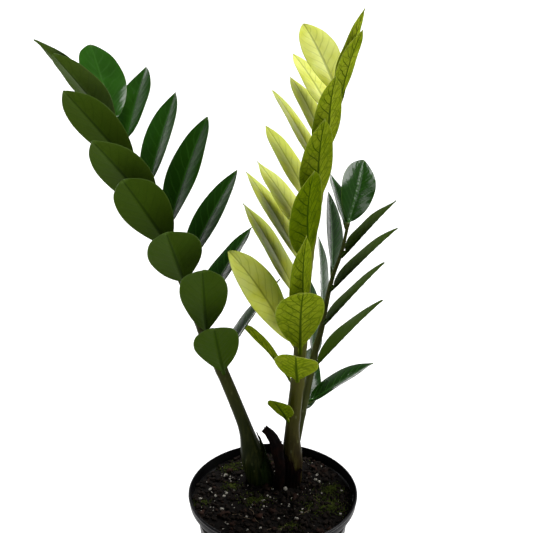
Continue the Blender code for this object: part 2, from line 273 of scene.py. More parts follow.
# ---- meshes ------------------------------------------------------------------------------
def mesh_object(name, points, faces, material):
    mesh = bpy.data.meshes.new(name)
    mesh.from_pydata([tuple(point) for point in points], [], faces)
    mesh.materials.append(material)
    mesh.shade_smooth()
    item = bpy.data.objects.new(name, mesh)
    bpy.context.scene.collection.objects.link(item)
    return item


def loft(name, rings, material):
    """A closed skin over rings with the same number of points, with flat ends."""
    rings = np.asarray(rings, float)
    count, around = rings.shape[:2]
    faces = []
    for i in range(count - 1):
        for j in range(around):
            k = (j + 1) % around
            faces.append((i * around + j, i * around + k, (i + 1) * around + k, (i + 1) * around + j))
    faces.append(tuple(range(around))[::-1])
    faces.append(tuple(range((count - 1) * around, count * around)))
    item = mesh_object(name, rings.reshape(-1, 3), faces, material)
    face_out(item)
    return item


def face_out(item):
    """Turns every face of a closed skin outwards."""
    bm = bmesh.new()
    bm.from_mesh(item.data)
    bmesh.ops.recalc_face_normals(bm, faces=bm.faces)
    bm.to_mesh(item.data)
    bm.free()


def set_uv(item, name, values):
    """A UV map from one pair of values for each vertex."""
    layer = item.data.uv_layers.new(name=name)
    corners = np.empty(len(item.data.loops), np.int32)
    item.data.loops.foreach_get("vertex_index", corners)
    layer.data.foreach_set("uv", np.asarray(values, np.float32)[corners].reshape(-1))


def set_value(item, name, values):
    """A named number for each vertex, for the materials to read."""
    attribute = item.data.attributes.new(name, "FLOAT", "POINT")
    attribute.data.foreach_set("value", np.asarray(values, np.float32))


def thicken(item, thickness):
    """Gives an open sheet its thickness."""
    skin = item.modifiers.new("thickness", "SOLIDIFY")
    skin.thickness = thickness
    return skin


def finish_piece(item, slot, *nodes):
    """Hands a piece over: it rides on the one body and may stand for CAD nodes."""
    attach(item, "root")
    if nodes:
        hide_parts(*nodes)
    return item


# ---- node materials ----------------------------------------------------------------------
class Shader:
    """Short ways to write a node material round one Principled BSDF."""

    def __init__(self, name, **sockets):
        self.material = bpy.data.materials.new(name)
        self.material.use_nodes = True
        self.tree = self.material.node_tree
        self.surface = self.tree.nodes["Principled BSDF"]
        for key, value in sockets.items():
            self.put(self.surface.inputs[key.replace("_", " ")], value)

    def put(self, socket, value):
        if isinstance(value, bpy.types.NodeSocket):
            self.tree.links.new(value, socket)
        elif hasattr(value, "__len__") and len(value) == 3 and socket.type == "RGBA":
            socket.default_value = (*value, 1)
        else:
            socket.default_value = value

    def node(self, kind, inputs, **settings):
        node = self.tree.nodes.new("ShaderNode" + kind)
        for key, value in settings.items():
            setattr(node, key, value)
        for key, value in inputs.items():
            self.put(node.inputs[key], value)
        return node

    def math(self, operation, first, second=0.0):
        return self.node("Math", {0: first, 1: second}, operation=operation).outputs[0]

    def spread(self, value, low, high, to_low=0.0, to_high=1.0):
        """The value from low to high, mapped to another range and kept in it."""
        inputs = {"Value": value, "From Min": low, "From Max": high, "To Min": to_low, "To Max": to_high}
        return self.node("MapRange", inputs).outputs["Result"]

    def mix(self, factor, first, second):
        node = self.node("Mix", {}, data_type="RGBA")
        self.put(node.inputs[0], factor)
        self.put(node.inputs[6], first)
        self.put(node.inputs[7], second)
        return node.outputs[2]

    def place(self, stretch=(1, 1, 1)):
        coordinates = self.node("TexCoord", {}).outputs["Object"]
        return self.node("Mapping", {"Vector": coordinates, "Scale": stretch}).outputs["Vector"]

    def noise(self, scale, detail=3.0, place=None, roughness=0.5):
        inputs = {"Vector": place or self.place(), "Scale": scale, "Detail": detail, "Roughness": roughness}
        return self.node("TexNoise", inputs).outputs["Fac"]

    def cells(self, scale, feature="F1", place=None):
        inputs = {"Vector": place or self.place(), "Scale": scale}
        return self.node("TexVoronoi", inputs, feature=feature).outputs["Distance"]

    def bump(self, height, distance, strength=1.0):
        inputs = {"Height": height, "Distance": distance, "Strength": strength}
        normal = self.node("Bump", inputs).outputs["Normal"]
        self.put(self.surface.inputs["Normal"], normal)

    def colour(self, value):
        self.put(self.surface.inputs["Base Color"], value)

    def rough(self, value):
        self.put(self.surface.inputs["Roughness"], value)


def leaf_shader(name, upper, under, veins_of, edge, gloss, sheen, soft, net_strength, ripple, contrast):
    """A leaflet: two faces of unlike colour, a midrib, slanting side veins, a fine net and an edge colour
    along its margins and tip, a painted highlight on the old leaflets.

    upper and under are each face's darkest, palest and cloudy colour; veins_of is the veins'
    colour and strength above, then below; gloss and sheen are roughness and specular level of
    the lower and the upper face; contrast is the strength of side veins and of the clouds.
    """
    s = Shader(name)
    plane = s.node("UVMap", {}, uv_map="blade").outputs["UV"]
    parts = s.node("SeparateXYZ", {"Vector": plane})
    v = parts.outputs[1]
    reach = s.math("ABSOLUTE", s.math("SUBTRACT", s.math("MULTIPLY", parts.outputs[0], 2.0), 1.0))
    metric = s.node("UVMap", {}, uv_map="metric").outputs["UV"]
    off_rib = s.math("ABSOLUTE", s.node("SeparateXYZ", {"Vector": metric}).outputs[0])
    face = s.node("Attribute", {}, attribute_name="upper").outputs["Fac"]
    tint = s.node("Attribute", {}, attribute_name="tint").outputs["Fac"]

    clouds = s.noise(75, 3)
    slant = s.math("MULTIPLY", s.math("POWER", reach, VEIN_CURVE), VEIN_SLANT)
    turn = s.math("ADD", s.math("SUBTRACT", v, slant), s.math("MULTIPLY", clouds, 0.10))
    phase = s.math("FRACT", s.math("MULTIPLY", turn, VEIN_PAIRS))
    from_vein = s.math("ABSOLUTE", s.math("SUBTRACT", phase, 0.5))
    side_vein = s.spread(from_vein, 0.03, 0.12, 1.0, 0.0)
    side_vein = s.math("MULTIPLY", side_vein, s.spread(reach, 0.5, 0.97, 1.0, 0.2))
    rib_width = s.spread(v, 0.0, 1.0, 0.017, 0.005)
    rib = s.spread(s.math("DIVIDE", off_rib, rib_width), 0.45, 1.0, 1.0, 0.0)
    net = s.spread(s.cells(130, "DISTANCE_TO_EDGE"), 0.0, 0.10, net_strength, 0.0)
    mesh = s.spread(s.cells(330, "DISTANCE_TO_EDGE"), 0.0, 0.13, net_strength * 0.5, 0.0)
    marked = s.math("MAXIMUM", rib, s.math("MULTIPLY", side_vein, contrast[0]))
    veins = s.math("MAXIMUM", marked, s.math("MAXIMUM", net, mesh))
    shown = s.math("MAXIMUM", rib, s.math("MULTIPLY", side_vein, 0.5))

    shade = s.spread(clouds, 0.32, 0.68)
    top = s.mix(tint, upper[0], upper[1])
    top = s.mix(s.math("MULTIPLY", shade, contrast[1]), top, upper[2])
    top = s.mix(s.math("MULTIPLY", shown, veins_of[1]), top, veins_of[0])
    below = s.mix(tint, under[0], under[1])
    below = s.mix(s.math("MULTIPLY", shade, contrast[1]), below, under[2])
    below = s.mix(s.math("MULTIPLY", veins, veins_of[3]), below, veins_of[2])
    blade = s.mix(face, below, top)
    # edge colour along the margins and tip: on the old leaflets a painted highlight where light catches the
    # rim, on the young ones a darker margin
    margin_and_highlight = s.math("MAXIMUM", s.spread(v, 0.95, 1.0), s.spread(reach, 0.94, 1.0))
    s.colour(s.mix(s.math("MULTIPLY", margin_and_highlight, 0.55), blade, edge))

    s.rough(s.spread(face, 0.0, 1.0, gloss[0], gloss[1]))
    s.put(s.surface.inputs["Specular IOR Level"], s.spread(face, 0.0, 1.0, sheen[0], sheen[1]))
    ripples = s.math("MULTIPLY", s.noise(150, 2), 0.9)
    s.bump(s.math("SUBTRACT", ripples, s.math("MULTIPLY", shown, 0.5)), 0.3 * MM, ripple)
    if soft:
        s.put(s.surface.inputs["Subsurface Weight"], soft)
        s.put(s.surface.inputs["Subsurface Radius"], (0.8, 1.0, 0.12))
        s.put(s.surface.inputs["Subsurface Scale"], 0.9 * MM)
    return s.material


def stalk_shader(name, low, high, streak, fleck, heights):
    """A fleshy stalk: colour by height, streaks along it, flecks and a satin skin. On the old stalks the
    near-black colour at the foot is painted shade near the soil.
    """
    s = Shader(name)
    height = s.node("SeparateXYZ", {"Vector": s.place()}).outputs[2]
    # colour by height: on the old stalks the dark low colour is painted shade at the foot
    base = s.mix(s.spread(height, heights[0], heights[1]), low, high)
    lines = s.noise(420, 4, s.place((1, 1, 0.07)))
    base = s.mix(s.spread(lines, 0.45, 0.7, 0.0, 0.7), base, streak)
    flecks = s.spread(s.cells(260, "F1", s.place((1, 1, 0.55))), 0.12, 0.24, 1.0, 0.0)
    spots = s.math("MULTIPLY", flecks, s.spread(s.noise(90, 2), 0.45, 0.6, 0.0, 0.6))
    s.colour(s.mix(spots, base, fleck))
    s.put(s.surface.inputs["Specular IOR Level"], 0.04)
    s.rough(s.spread(s.noise(300, 3), 0.3, 0.7, 0.34, 0.5))
    s.bump(s.math("ADD", lines, s.math("MULTIPLY", s.noise(1400, 2), 0.4)), 0.3 * MM, 0.6)
    return s.material


def dry_shader(name, dark, light, patch):
    """Dead papery or barky tissue: fibres along it, patches and a dull skin."""
    s = Shader(name)
    fibres = s.noise(500, 5, s.place((1, 1, 0.06)), 0.65)
    patches = s.noise(120, 4)
    base = s.mix(s.spread(fibres, 0.35, 0.7), dark, light)
    s.colour(s.mix(s.spread(patches, 0.5, 0.7, 0.0, 0.6), base, patch))
    s.put(s.surface.inputs["Specular IOR Level"], 0.03)
    s.rough(s.spread(patches, 0.3, 0.7, 0.55, 0.85))
    s.bump(s.math("ADD", fibres, patches), 0.5 * MM, 0.8)
    return s.material


def grain_shader(name, dark, light, scale, rough, depth):
    """A loose or mineral surface: two colours in patches and a rough bump."""
    s = Shader(name)
    patches = s.noise(scale, 6, None, 0.62)
    pits = s.noise(scale * 5, 4, None, 0.6)
    base = s.mix(s.spread(patches, 0.35, 0.68), dark, light)
    s.colour(s.mix(s.spread(pits, 0.55, 0.75, 0.0, 0.5), base, dark))
    s.put(s.surface.inputs["Specular IOR Level"], 0.1)
    s.rough(s.spread(pits, 0.3, 0.7, rough - 0.12, rough + 0.08))
    s.bump(s.math("ADD", patches, pits), depth, 0.8)
    return s.material


def pot_shader():
    """Thin black injection-moulded plastic: satin, faint turning rings, dust and scuffs."""
    s = Shader("nursery_pot_plastic")
    dust = s.noise(45, 5, None, 0.6)
    scuffs = s.noise(700, 3, s.place((1, 1, 0.15)))
    base = s.mix(s.spread(dust, 0.45, 0.75, 0.0, 0.6), (0.004, 0.004, 0.005), (0.011, 0.011, 0.011))
    s.colour(s.mix(s.spread(scuffs, 0.62, 0.72, 0.0, 0.35), base, (0.02, 0.02, 0.02)))
    s.put(s.surface.inputs["Specular IOR Level"], 0.15)
    s.rough(s.spread(dust, 0.3, 0.75, 0.27, 0.48))
    s.bump(s.math("ADD", s.noise(1800, 2), s.noise(120, 2)), 0.12 * MM, 0.35)
    return s.material


def make_materials():
    """Every material by the name that the pieces ask for."""
    soil_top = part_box("soil")[1].z
    plant_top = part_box("young_stalk")[1].z
    return {
        # the old leaflets' edge colour is a painted highlight along their margins and tip
        "old_leaf": leaf_shader(
            "old_leaflet", upper=((0.0035, 0.019, 0.0005), (0.022, 0.092, 0.006), (0.007, 0.030, 0.001)),
            under=((0.024, 0.050, 0.002), (0.040, 0.072, 0.005), (0.032, 0.054, 0.004)),
            veins_of=((0.030, 0.10, 0.012), 0.55, (0.009, 0.022, 0.001), 0.6),
            edge=(0.075, 0.125, 0.022), gloss=(0.5, 0.17), sheen=(0.015, 0.22), soft=0.0,
            net_strength=0.15, ripple=0.5, contrast=(0.3, 0.45)),
        "young_leaf": leaf_shader(
            "young_leaflet", upper=((0.19, 0.25, 0.020), (0.80, 0.82, 0.26), (0.48, 0.50, 0.04)),
            under=((0.055, 0.085, 0.001), (0.30, 0.36, 0.02), (0.11, 0.16, 0.002)),
            veins_of=((0.07, 0.12, 0.004), 0.5, (0.012, 0.030, 0.001), 0.85),
            edge=(0.20, 0.24, 0.04), gloss=(0.5, 0.3), sheen=(0.0, 0.10), soft=0.35,
            net_strength=0.6, ripple=0.3, contrast=(1.0, 0.75)),
        # the old stalks run from near black at the soil, painted shade at their feet, up to their own green
        "old_stalk": stalk_shader(
            "old_stalk", (0.002, 0.007, 0.0005), (0.026, 0.029, 0.005), (0.030, 0.034, 0.006),
            (0.07, 0.08, 0.03), (soil_top, soil_top + 0.09)),
        "right_stalk": stalk_shader(
            "right_stalk", (0.010, 0.016, 0.002), (0.070, 0.080, 0.020), (0.045, 0.050, 0.012),
            (0.09, 0.10, 0.05), (soil_top, soil_top + 0.12)),
        "young_stalk": stalk_shader(
            "young_stalk", (0.012, 0.007, 0.002), (0.11, 0.125, 0.014), (0.050, 0.045, 0.009),
            (0.07, 0.075, 0.03), (soil_top + 0.02, plant_top - 0.10)),
        "dry_scale": dry_shader(
            "dry_scale", (0.0010, 0.0006, 0.0005), (0.003, 0.0013, 0.0010), (0.011, 0.004, 0.0025)),
        "pale_scale": dry_shader(
            "pale_scale", (0.003, 0.009, 0.001), (0.016, 0.026, 0.005), (0.05, 0.055, 0.02)),
        "rhizome": grain_shader(
            "rhizome_skin", (0.25, 0.17, 0.09), (0.45, 0.34, 0.18), 90, 0.7, 0.5 * MM),
        "soil": grain_shader(
            "peat", (0.0009, 0.0007, 0.0006), (0.0050, 0.0033, 0.0023), 420, 0.9, 0.8 * MM),
        "crumb": grain_shader(
            "peat_crumbs", (0.0015, 0.0011, 0.0008), (0.014, 0.0085, 0.0055), 500, 0.88, 0.4 * MM),
        "perlite": grain_shader(
            "perlite", (0.12, 0.11, 0.09), (0.42, 0.40, 0.35), 900, 0.8, 0.3 * MM),
        "bark": grain_shader(
            "bark_bits", (0.005, 0.0025, 0.0015), (0.028, 0.012, 0.007), 300, 0.8, 0.4 * MM),
        "moss": grain_shader(
            "moss", (0.013, 0.021, 0.001), (0.058, 0.075, 0.009), 260, 0.8, 0.2 * MM),
        "root": grain_shader(
            "fine_roots", (0.07, 0.05, 0.028), (0.16, 0.12, 0.08), 500, 0.7, 0.1 * MM),
        "pot": pot_shader(),
    }


# ---- leaflets ----------------------------------------------------------------------------
def outline(t, widest):
    """Share of the half width at t along the blade: full at its widest place, short at the tip."""
    t = min(max(t, 0), 1)
    rise = (t / widest) ** (FULLNESS * widest)
    fall = ((1 - t) / (1 - widest)) ** (FULLNESS * (1 - widest))
    return rise * fall * (1 - 0.3 * (max(t - 0.8, 0) / 0.2) ** 2)


def vein_depth(t, reach):
    """1 on a side vein, falling to 0 between them."""
    phase = (t - VEIN_SLANT * reach ** VEIN_CURVE + 0.015) * VEIN_PAIRS
    away = np.abs(phase - np.floor(phase) - 0.5)
    return np.exp(-(away / 0.12) ** 2) * (1 - 0.8 * reach ** 4)


def habit_of(rng):
    """What makes one leaflet unlike the next: twist, curves and a wavy, uneven margin."""
    return SimpleNamespace(
        twist=math.radians(rng.uniform(-7, 7)),
        sway=rng.uniform(-0.012, 0.012),
        recurve=rng.uniform(0.01, 0.035),
        wave=rng.uniform(0.25, 0.6) * MM,
        waves=rng.uniform(1.4, 2.4),
        shift=rng.uniform(0, TURN),
        uneven=rng.uniform(-0.04, 0.04))


def cross_section(blade, habit, keel, u, y):
    """Places across a leaflet and the heights of its two faces there, y from its base.

    u runs from -1 to 1 across the blade. Below the base the section is the round stem, and it
    widens to the blade over a short run.
    """
    t = max(y / blade.length, 0)
    blend = min(max((y + 0.5 * MM) / STEM_BLEND, 0), 1)
    lamina = blend * blend * (3 - 2 * blend)
    half = blade.full_half * outline(t, blade.widest) * lamina + STEM_HALF * (1 - lamina)
    half = max(half, LEAST_HALF)
    reach = np.abs(u)
    x = half * u * (1 + habit.uneven * np.sign(u) * lamina)

    crease = (1 - keel) + keel * (np.sqrt(u ** 2 + 0.012) - 0.11)
    fold = math.tan(blade.fold) * half * crease
    cheek = CHEEK * half * reach * (1 - reach)
    ripple = habit.wave * reach ** 2 * math.sin(TURN * habit.waves * t + habit.shift) * lamina
    ripple = ripple * np.where(u > 0, 1, -0.7)
    veins = vein_depth(t, reach) * lamina
    rib = np.exp(-(x / RIB_HALF) ** 2) * lamina
    round_stem = STEM_HALF * np.sqrt(np.clip(1 - u ** 2, 0, 1)) * (1 - lamina)

    top = (fold + cheek) * lamina + ripple + round_stem
    top = top - VEIN_GROOVE * veins - RIB_GROOVE * rib * (1 - 0.7 * t)
    fleshy = (LAMINA * (1 - 0.55 * reach ** 2) * (1 - 0.35 * t) - EDGE) * lamina
    depth = EDGE + np.clip(fleshy, 0, None) + 2 * round_stem
    depth = depth + VEIN_RIDGE * veins * lamina + RIB_RIDGE * rib * (1 - 0.85 * t)
    return x, top, top - depth


def leaflet(blade, material, tint, keel):
    """One leaflet as a closed fleshy blade with its short stem, in its CAD solid's place."""
    rng = random.Random(blade.name)
    habit = habit_of(rng)
    stem = np.linspace(-blade.stem, 0, STEM_ROWS + 1)[:-1]
    rows = np.concatenate([stem, np.linspace(0, 1, BLADE_ROWS) * blade.length])
    u = -np.cos(np.linspace(0, math.pi, BLADE_COLUMNS + 1))
    u = np.sign(u) * np.abs(u) ** 0.9
    loop_u = np.concatenate([u, u[::-1]])
    rings = []
    plane = []
    metric = []
    for y in rows:
        t = max(y / blade.length, 0)
        x, top, bottom = cross_section(blade, habit, keel, u, y)
        loop_x = np.concatenate([x, x[::-1]])
        loop_z = np.concatenate([top, bottom[::-1]])
        angle = habit.twist * (t - 0.35)
        droop = habit.recurve * blade.length * (t - 3.3 * max(t - 0.45, 0) ** 2)
        sway = habit.sway * blade.length * 4 * t * (1 - t)
        side = loop_x * math.cos(angle) - loop_z * math.sin(angle) + sway
        up = loop_x * math.sin(angle) + loop_z * math.cos(angle) + droop
        ring = blade.base + np.outer(side, blade.across) + np.outer(up, blade.upper) + blade.along * y
        rings.append(ring)
        plane.append(np.column_stack([loop_u * 0.5 + 0.5, np.full(len(loop_u), max(t, 0.001))]))
        metric.append(np.column_stack([loop_x * 10, np.full(len(loop_u), y * 10)]))
    item = loft(blade.name + "_leaf", rings, material)
    set_uv(item, "blade", np.concatenate(plane))
    set_uv(item, "metric", np.concatenate(metric))
    upper = np.concatenate([np.ones(len(u)), np.zeros(len(u))])
    set_value(item, "upper", np.tile(upper, len(rows)))
    set_value(item, "tint", np.full(len(item.data.vertices), max(tint + rng.uniform(-0.04, 0.04), 0)))
    return item


def make_leaflets(stalks, materials):
    """All the leaflets: the old ones are painted paler with height, painted light on the upper leaflets and
    painted shade on the lower ones; each young one has its own paleness.
    """
    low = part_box("soil")[1].z
    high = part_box("young_stalk")[1].z
    for name in sorted(NODES):
        if "leaflet" not in name:
            continue
        side, row, _, number = name.split("_")
        blade = Blade(name, stalks[side])
        if side == "young":
            slot = "young_leaf"
            tint = YOUNG_TINTS[row][int(number) - 1]
            keel = YOUNG_KEEL
        else:
            slot = "old_leaf"
            # painted light: old leaflets run from dark low down (painted shade) to pale high up (painted
            # light)
            tint = 0.05 + 0.9 * ((blade.base[2] - low) / (high - low)) ** 3
            keel = OLD_KEEL
        finish_piece(leaflet(blade, materials[slot], tint, keel), slot, name)


# ---- stalks ------------------------------------------------------------------------------
def ring_axes(line):
    """Two crosswise directions at each point of a line, without twist."""
    runs = np.gradient(line[:, :3], axis=0)
    runs = runs / np.linalg.norm(runs, axis=1)[:, None]
    side = unit(np.cross(runs[0], [0.0, 1.0, 0.0]))
    axes = []
    for run in runs:
        side = unit(side - run * (side @ run))
        axes.append((side, np.cross(run, side)))
    return axes


def tube_ring(point, axes, angles, girth):
    """A ring of points round a centre, girth away from it at each angle."""
    side, back = axes
    return point[:3] + np.outer(np.cos(angles) * girth, side) + np.outer(np.sin(angles) * girth, back)


def stalk_piece(stalk, material, joints, rng):
    """A fleshy stalk with shallow ribs, uneven girth and a swelling at each leaflet pair."""
    places = np.linspace(0, len(stalk.line) - 1, len(stalk.line) // 12).astype(int)
    line = smooth_line(stalk.line[places], STALK_ROWS)
    angles = np.linspace(0, TURN, STALK_COLUMNS, endpoint=False)
    start = rng.uniform(0, 6.28)
    furrow = 0.018 * np.sin(STALK_RIBS * angles + start) + 0.012 * np.sin((2 * STALK_RIBS + 1) * angles)
    rings = []
    for point, axes in zip(line, ring_axes(line)):
        swell = sum(math.exp(-((point[2] - joint) / JOINT_HALF) ** 2) for joint in joints)
        drift = 0.03 * math.sin(point[2] / (17 * MM) + start)
        girth = point[3] * (1 + furrow + drift + 0.07 * min(swell, 1.2))
        rings.append(tube_ring(point, axes, angles, girth))
    return loft(stalk.name + "_flesh", rings, material)


def make_stalks(stalks, materials):
    """The three stalks, each swollen where its leaflets join it."""
    for side, stalk in stalks.items():
        rng = random.Random(stalk.name)
        leaves = [name for name in NODES if name.startswith(side) and "leaflet" in name]
        joints = [stalk.nearest(Blade(name, stalk).base)[2] for name in leaves]
        slot = "young_stalk" if side == "young" else "old_stalk"
        skin = "right_stalk" if side == "right" else slot
        item = stalk_piece(stalk, materials[skin], joints, rng)
        finish_piece(item, slot, stalk.name)


# ---- dry scales at the stalks' feet ------------------------------------------------------
def sheath_angles(outward):
    """Each corner's angle round the stalk, with the sheath's first and last angle."""
    heading = np.arctan2(outward[:, 1], outward[:, 0]) % TURN
    angles = np.sort(heading)
    gap = int(np.argmax(np.diff(np.append(angles, angles[0] + TURN))))
    first = angles[(gap + 1) % len(angles)]
    last = angles[gap] + (TURN if angles[gap] < first else 0)
    return np.where(heading < first - 0.01, heading + TURN, heading), first, last


def sheath_piece(name, stalk, material, ragged):
    """A papery scale round a stalk's foot, torn along its upper edge."""
    rng = random.Random(name)
    corners = node_points(name)
    foot = corners[:, 2].min()
    skirt = foot - 1.5 * MM
    axis = np.array([stalk.at(height) for height in corners[:, 2]])
    outward = corners - axis[:, :3]
    reach = float((np.linalg.norm(outward, axis=1) - axis[:, 3]).mean())
    heading, first, last = sheath_angles(outward)
    points = []
    for i in range(SHEATH_COLUMNS + 1):
        angle = first + (last - first) * i / SHEATH_COLUMNS
        tear = ragged * (noise.noise(Vector((angle * 3.1, 0.3, rng.random() * 0.2))) - 0.25)
        tear += 0.5 * ragged * noise.noise(Vector((angle * 11, 2.0, 0)))
        near = np.abs(heading - angle) < (last - first) / 14
        top = max(corners[near][:, 2].max() + tear, foot + 4 * MM)
        for j in range(SHEATH_ROWS + 1):
            share = j / SHEATH_ROWS
            height = skirt + (top - skirt) * share
            x, y, _, radius = stalk.at(height)
            crease = 0.5 * MM * noise.noise(Vector((angle * 6, height * 90, 1.0)))
            crease += 0.25 * MM * math.sin(angle * 22)
            wide = radius + reach - 0.3 * MM + crease + 1.2 * MM * share ** 5
            points.append((x + math.cos(angle) * wide, y + math.sin(angle) * wide, height))
    faces = []
    for i in range(SHEATH_COLUMNS):
        for j in range(SHEATH_ROWS):
            a = i * (SHEATH_ROWS + 1) + j
            b = a + SHEATH_ROWS + 1
            faces.append((a, b, b + 1, a + 1))
    item = mesh_object(name + "_paper", points, faces, material)
    thicken(item, SHEATH_WALL).offset = 0
    return item


def stub_piece(material):
    """The dried, broken leaf base: a shrivelled tube with a ragged end."""
    points = node_points("dry_stub")
    rings = [ring for ring in split_rows(points, points[:, 2], 1.0 * MM) if len(ring) >= 6]
    line = smooth_line(ring_sizes(rings), STUB_ROWS)
    angles = np.linspace(0, TURN, STUB_COLUMNS, endpoint=False)
    tear = np.array([noise.noise(Vector((math.cos(a) * 3, math.sin(a) * 3, 7.0))) for a in angles])
    skins = []
    for row, (point, (side, back)) in enumerate(zip(line, ring_axes(line))):
        share = row / (len(line) - 1)
        girth = []
        for angle in angles:
            wrinkle = 0.30 * noise.noise(Vector((math.cos(angle) * 2, math.sin(angle) * 2, share * 5)))
            wrinkle += 0.10 * math.sin(5 * angle + 2 * share)
            girth.append(point[3] * (1.2 + wrinkle))
        slide = 2.2 * MM * tear * max(share - 0.9, 0) / 0.1
        ring = tube_ring(point, (side, back), angles, np.array(girth))
        skins.append(ring + np.outer(slide, np.cross(side, back)))
    return loft("dry_stub_bark", skins, material)


# ---- soil --------------------------------------------------------------------------------
def soil_surface(x, y, level, edge, feet):
    """Height of the lumpy soil, piled against the stalks and dipping at the wall."""
    lumps = 1.3 * noise.noise(Vector((x * 55, y * 55, 0.4)))
    lumps += 0.7 * noise.noise(Vector((x * 150, y * 150, 1.7)))
    lumps += 0.35 * noise.noise(Vector((x * 420, y * 420, 3.1)))
    pile = 0
    for foot_x, foot_y, radius in feet:
        gap = math.hypot(x - foot_x, y - foot_y) - radius
        pile += 1.6 * math.exp(-max(gap, 0) / (6 * MM))
    dip = -1.2 * max(math.hypot(x, y) / edge - 0.85, 0) / 0.15
    return level + (lumps + pile + dip) * MM


def around_axis(radius, count):
    """Places evenly round the pot's axis."""
    turns = [TURN * j / count for j in range(count)]
    return [(radius * math.cos(turn), radius * math.sin(turn)) for turn in turns]


def soil_bed(level, edge, ground, material):
    """The whole body of soil: a lumpy top, a side that follows the pot and a flat underside."""
    points = [(0, 0, ground(0, 0))]
    for i in range(1, BED_RINGS + 1):
        points += [(x, y, ground(x, y)) for x, y in around_axis(edge * i / BED_RINGS, BED_COLUMNS)]
    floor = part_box("soil")[0].z
    corners = node_points("soil")
    low_corners = corners[corners[:, 2] < floor + 0.1 * MM]
    low_radius = np.linalg.norm(low_corners[:, :2], axis=1).max()
    for height, radius in ((level - 14 * MM, edge * 0.92), (floor, low_radius)):
        points += [(x, y, height) for x, y in around_axis(radius, BED_COLUMNS)]
    faces = [(0, 1 + j, 1 + (j + 1) % BED_COLUMNS) for j in range(BED_COLUMNS)]
    for i in range(BED_RINGS + 1):
        first = 1 + i * BED_COLUMNS
        for j in range(BED_COLUMNS):
            a = first + j
            b = first + (j + 1) % BED_COLUMNS
            faces.append((a, a + BED_COLUMNS, b + BED_COLUMNS, b))
    last = 1 + (BED_RINGS + 1) * BED_COLUMNS
    faces.append(tuple(range(last, last + BED_COLUMNS))[::-1])
    item = mesh_object("soil_bed", points, faces, material)
    face_out(item)
    return item


def grain_shapes(count, detail, rough, rng):
    """A few irregular grains about one unit across: balls pushed in and out by noise."""
    ball = bmesh.new()
    bmesh.ops.create_icosphere(ball, subdivisions=detail, radius=1)
    faces = np.array([[vert.index for vert in face.verts] for face in ball.faces])
    corners = [vert.co.copy() for vert in ball.verts]
    ball.free()
    shapes = []
    for _ in range(count):
        seed = Vector((rng.random() * 40, rng.random() * 40, rng.random() * 40))
        squash = np.array([rng.uniform(0.7, 1.15), rng.uniform(0.7, 1.15), rng.uniform(0.5, 0.9)])
        grain = [co * (1 + rough * noise.noise(co * 1.6 + seed)) for co in corners]
        shapes.append(np.array(grain) * squash)
    return shapes, faces


def turned(points, heading, tilt):
    """Points tilted about X and then turned about Z."""
    x, y, z = points.T
    y, z = y * math.cos(tilt) - z * math.sin(tilt), y * math.sin(tilt) + z * math.cos(tilt)
    x, y = x * math.cos(heading) - y * math.sin(heading), x * math.sin(heading) + y * math.cos(heading)
    return np.column_stack([x, y, z])


def scatter(name, count, sizes, detail, rough, sink, material, ground, edge, keep_out, seed):
    """Many irregular grains on the soil in one mesh, few of them near the larger size."""
    rng = random.Random(seed)
    shapes, faces = grain_shapes(GRAIN_SHAPES, detail, rough, rng)
    points = []
    skins = []
    while len(points) < count:
        radius = edge * math.sqrt(rng.random())
        angle = rng.uniform(0, 2 * math.pi)
        x = radius * math.cos(angle)
        y = radius * math.sin(angle)
        if keep_out(x, y):
            continue
        size = sizes[0] + (sizes[1] - sizes[0]) * rng.random() ** 2.2
        grain = turned(rng.choice(shapes), rng.uniform(0, 2 * math.pi), rng.uniform(-0.6, 0.6))
        skins.append(faces + len(points) * len(grain))
        points.append(grain * size + np.array([x, y, ground(x, y) + size * sink]))
    return mesh_object(name, np.concatenate(points), np.concatenate(skins).tolist(), material)


def moss_piece(patches, ground, edge, material):
    """Low moss: short pointed leaves in dense tufts over a few patches."""
    rng = random.Random(11)
    points = []
    faces = []
    for cx, cy, spread, count in patches:
        for _ in range(count):
            x = cx + rng.gauss(0, spread)
            y = cy + rng.gauss(0, spread * 0.7)
            if math.hypot(x, y) > edge * 0.985:
                continue
            z = ground(x, y) - 0.1 * MM
            for _ in range(4):
                heading = rng.uniform(0, 2 * math.pi)
                lean = rng.uniform(0.2, 1.0)
                size = rng.uniform(0.6, 1.5) * MM
                tip = Vector((math.cos(heading) * lean, math.sin(heading) * lean, 1)).normalized() * size
                side = Vector((-math.sin(heading), math.cos(heading), 0)) * size * 0.22
                foot = Vector((x, y, z))
                mid = foot + tip * 0.5 + Vector((0, 0, size * 0.08))
                first = len(points)
                points += [foot - side * 0.5, foot + side * 0.5, mid + side, mid - side, foot + tip]
                faces += [(first, first + 1, first + 2, first + 3), (first + 3, first + 2, first + 4)]
    item = mesh_object("moss_tufts", points, faces, material)
    thicken(item, MOSS_WALL)
    return item


def root_pieces(ground, material):
    """A few pale root fibres lying on the soil."""
    rng = random.Random(5)
    angles = np.linspace(0, TURN, 7, endpoint=False)
    fibres = []
    for start, end in ROOT_ROUTES:
        points = []
        for i in range(14):
            t = i / 13
            x = (start[0] + (end[0] - start[0]) * t + 1.6 * math.sin(5 * t + start[0])) * MM
            y = (start[1] + (end[1] - start[1]) * t + 1.2 * math.sin(7 * t + start[1])) * MM
            points.append((x, y, ground(x, y) + 0.5 * MM, rng.uniform(0.16, 0.26) * MM))
        line = smooth_line(points, 60)
        rings = [tube_ring(point, axes, angles, point[3]) for point, axes in zip(line, ring_axes(line))]
        fibres.append(loft("root_fibre_%d" % (len(fibres) + 1), rings, material))
    return fibres


